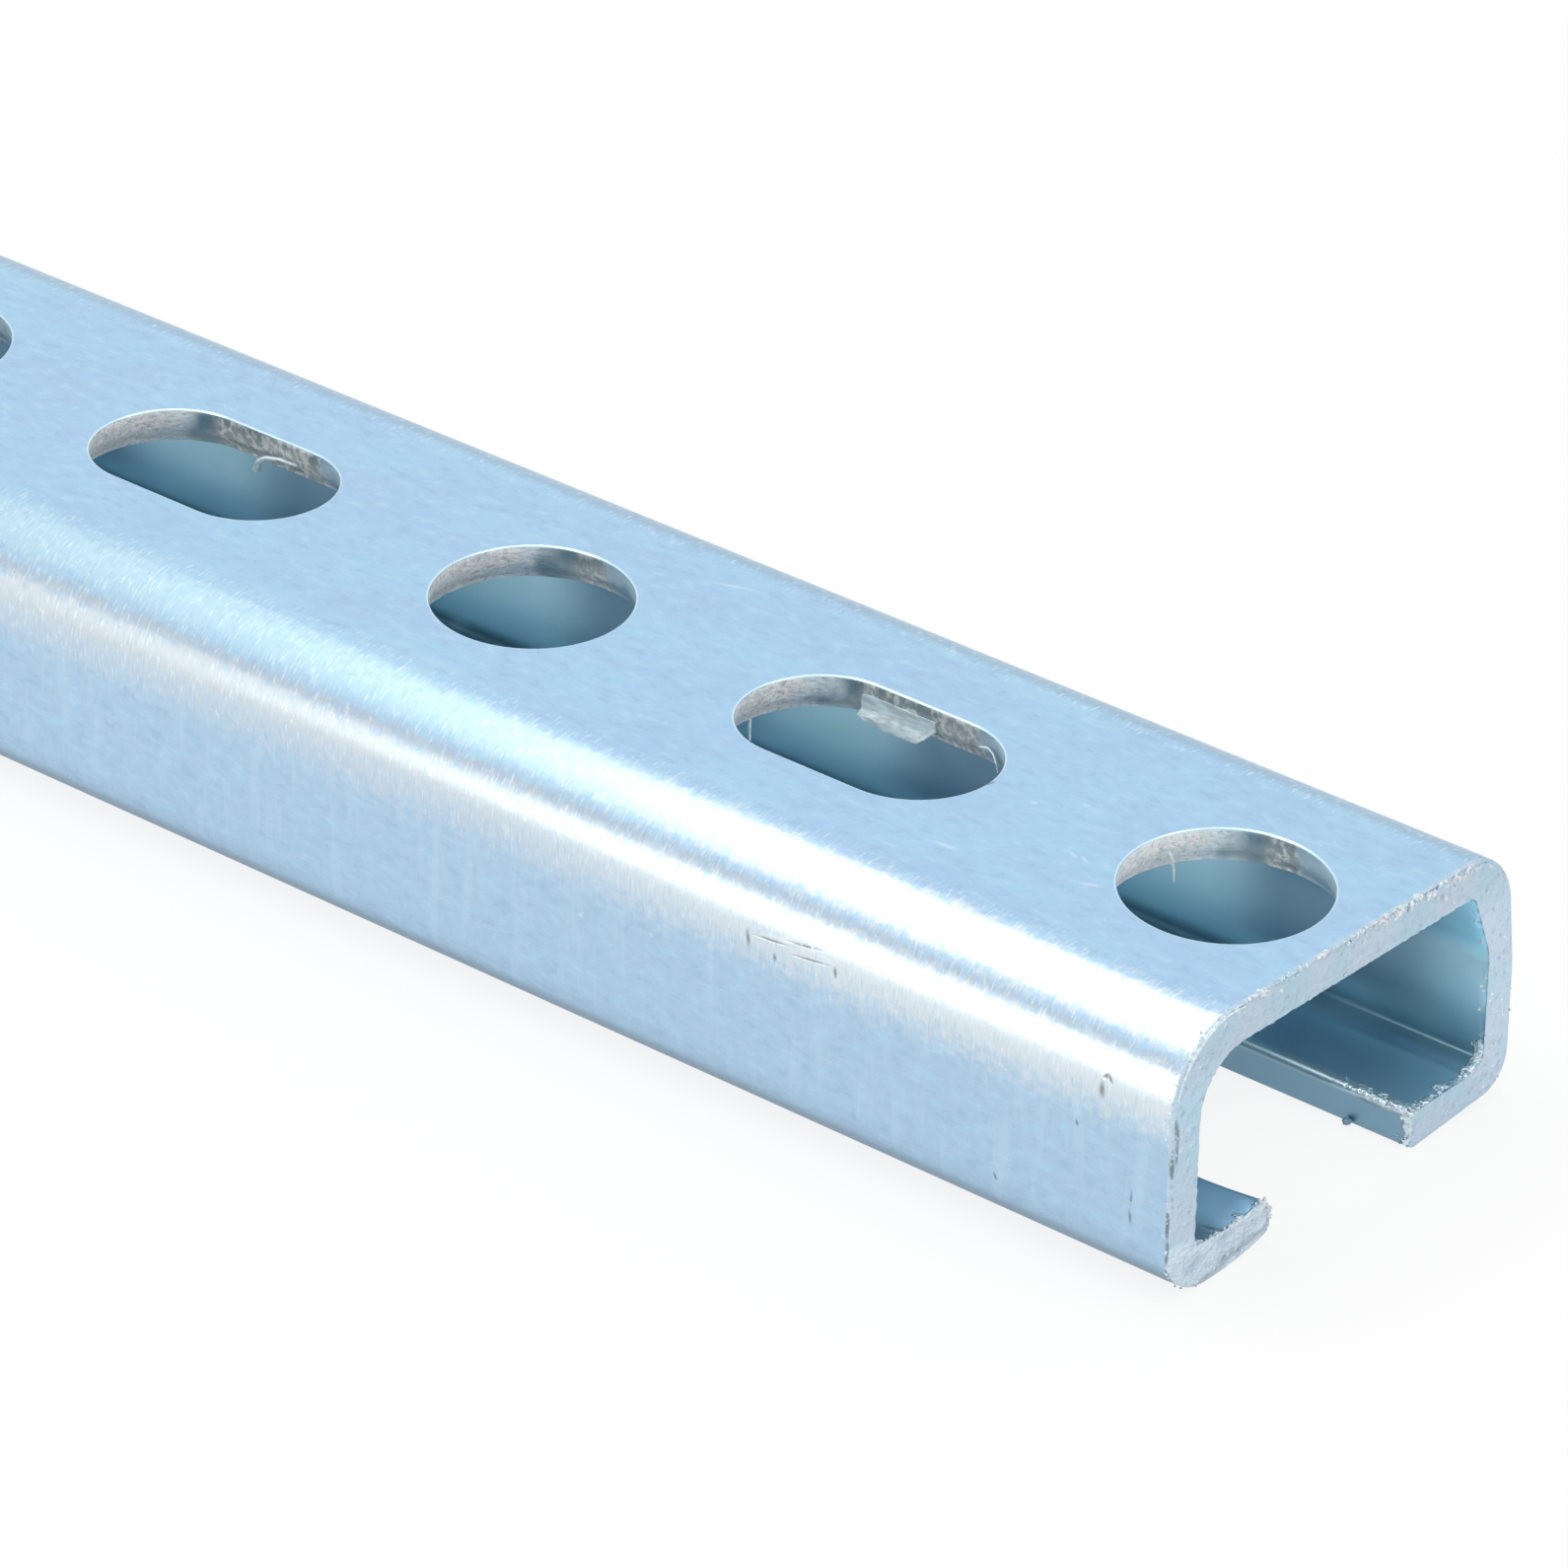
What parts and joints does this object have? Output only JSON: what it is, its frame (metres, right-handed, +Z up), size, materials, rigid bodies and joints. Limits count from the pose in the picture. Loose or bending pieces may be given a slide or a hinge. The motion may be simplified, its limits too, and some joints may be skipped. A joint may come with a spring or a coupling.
{
  "type": "perforated c-channel",
  "caption": "Light C-section mounting rail with plain lips, and round and slotted holes by turns along its web.",
  "frame": {"origin": "midway along the rail, on its centre plane, at the undersides of the lips", "axes": "+X along the rail towards the end that the picture shows, +Y across it, +Z up from the lips to the web"},
  "size_m": [1, 0.028, 0.015],
  "materials": {
    "zinc_plate": "satin"
  },
  "bodies": {
    "root": {"channel": "zinc_plate"}
  },
  "joints": []
}
